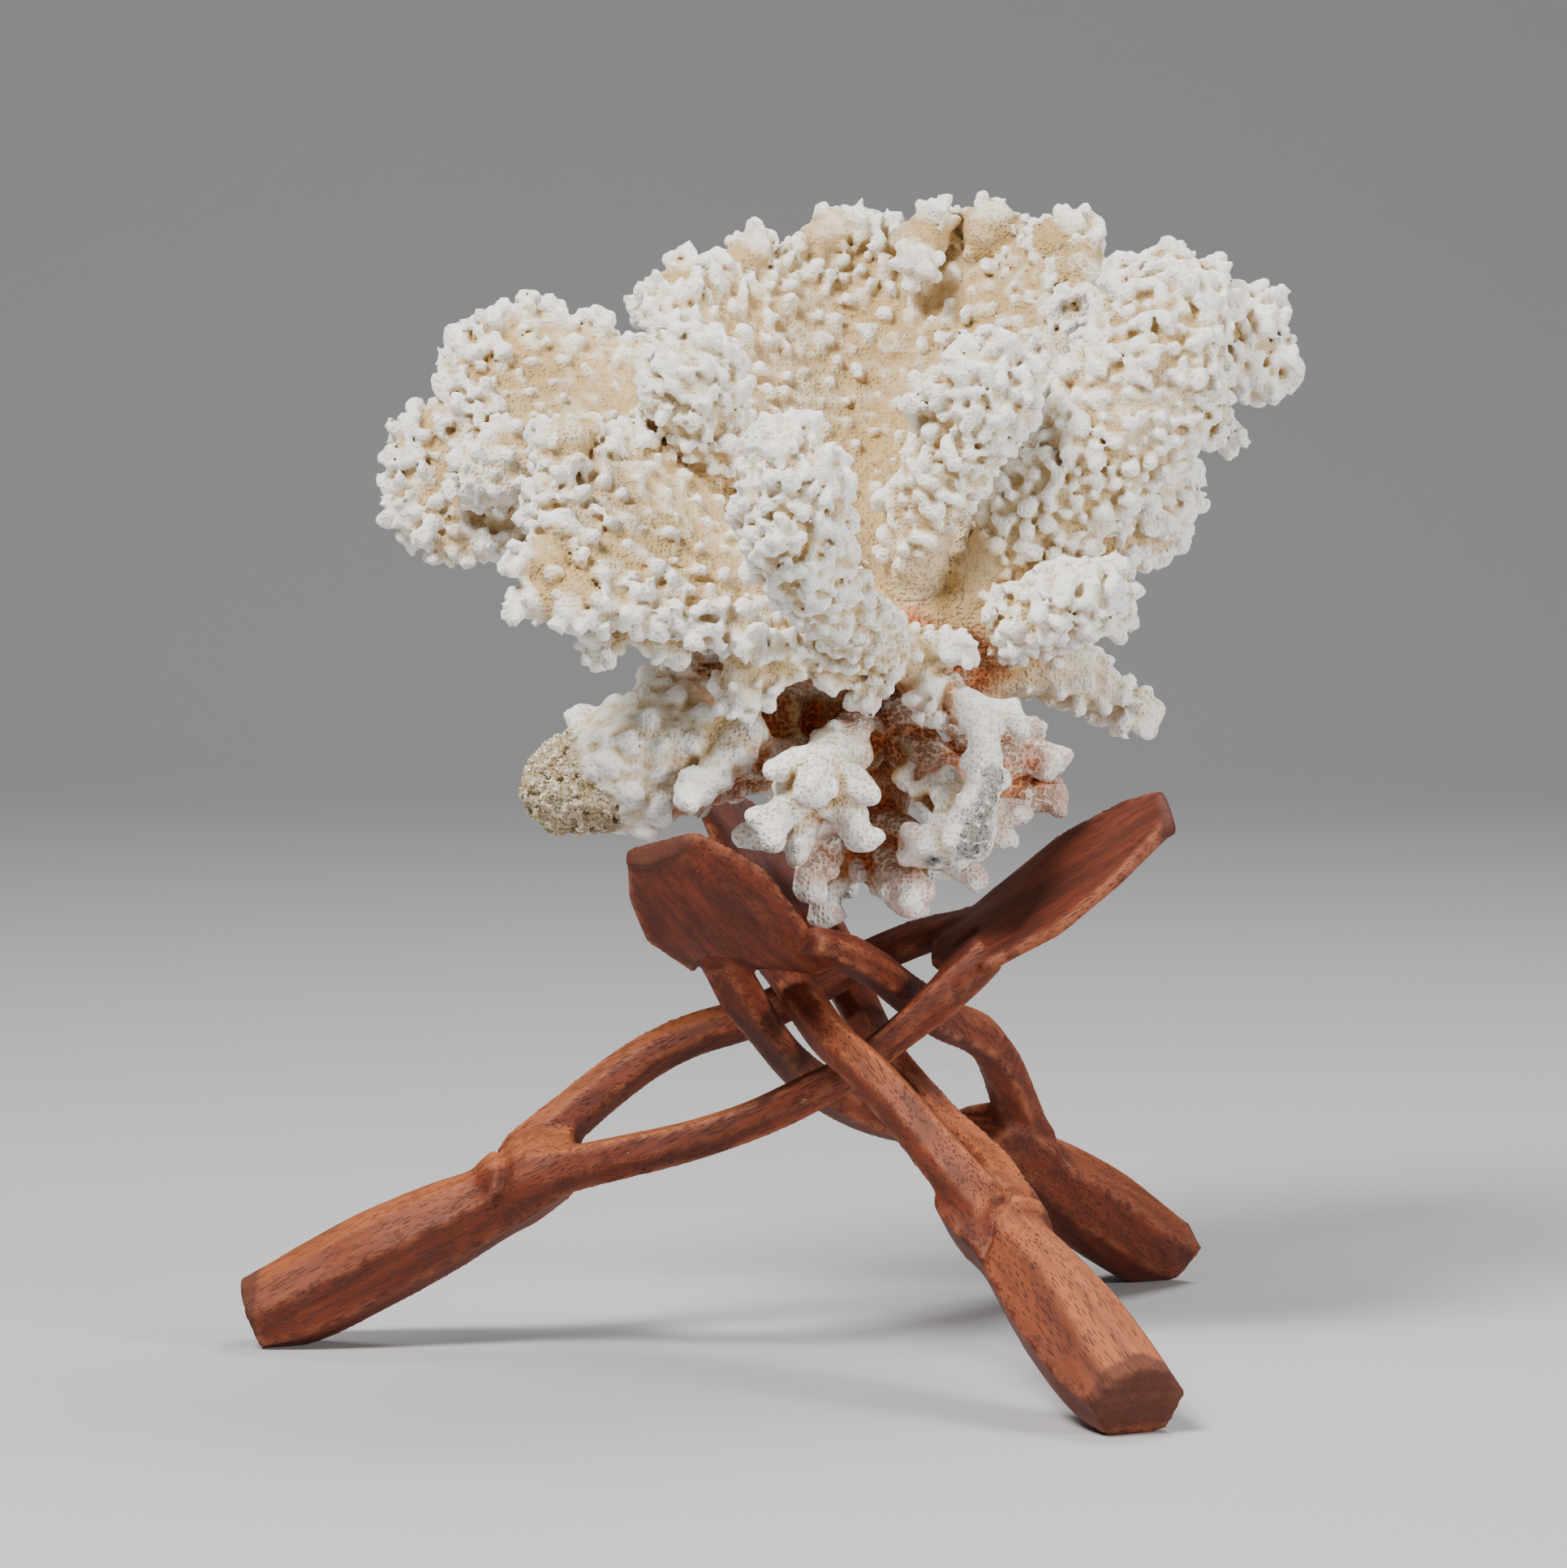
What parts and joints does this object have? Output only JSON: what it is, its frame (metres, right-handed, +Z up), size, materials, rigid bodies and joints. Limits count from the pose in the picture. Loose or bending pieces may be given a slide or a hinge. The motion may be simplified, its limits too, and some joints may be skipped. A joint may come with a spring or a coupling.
{
  "type": "branching coral on a three-legged folding stand",
  "caption": "White branching coral with lobed, knobbly plates and fingers, resting in the blades of a carved wooden stand of interlocked legs.",
  "frame": {"origin": "on the ground, under the middle of the whole object's box", "axes": "+Z up, +X to the right and -Y towards the viewer, as the coral is seen in the picture"},
  "size_m": [0.2318, 0.2309, 0.2498],
  "materials": {
    "coral_skeleton": "matte, pored",
    "carved_wood": "satin"
  },
  "bodies": {
    "root": {"coral_trunk": "coral_skeleton", "coral_back_plate": "coral_skeleton", "coral_far_left_plate": "coral_skeleton", "coral_knob_branch": "coral_skeleton", "coral_front_left_plate": "coral_skeleton", "coral_front_branch": "coral_skeleton", "coral_middle_branch": "coral_skeleton", "coral_right_branch": "coral_skeleton", "coral_right_plate": "coral_skeleton", "coral_right_finger": "coral_skeleton", "coral_lower_left_branch": "coral_skeleton", "coral_lower_front_fingers": "coral_skeleton", "coral_lower_right_fingers": "coral_skeleton", "coral_base_fingers": "coral_skeleton", "coral_back_left_branch": "coral_skeleton", "coral_back_right_branch": "coral_skeleton", "coral_lower_back_fingers": "coral_skeleton", "leg_left": "carved_wood", "leg_front": "carved_wood", "leg_back": "carved_wood"}
  },
  "joints": []
}
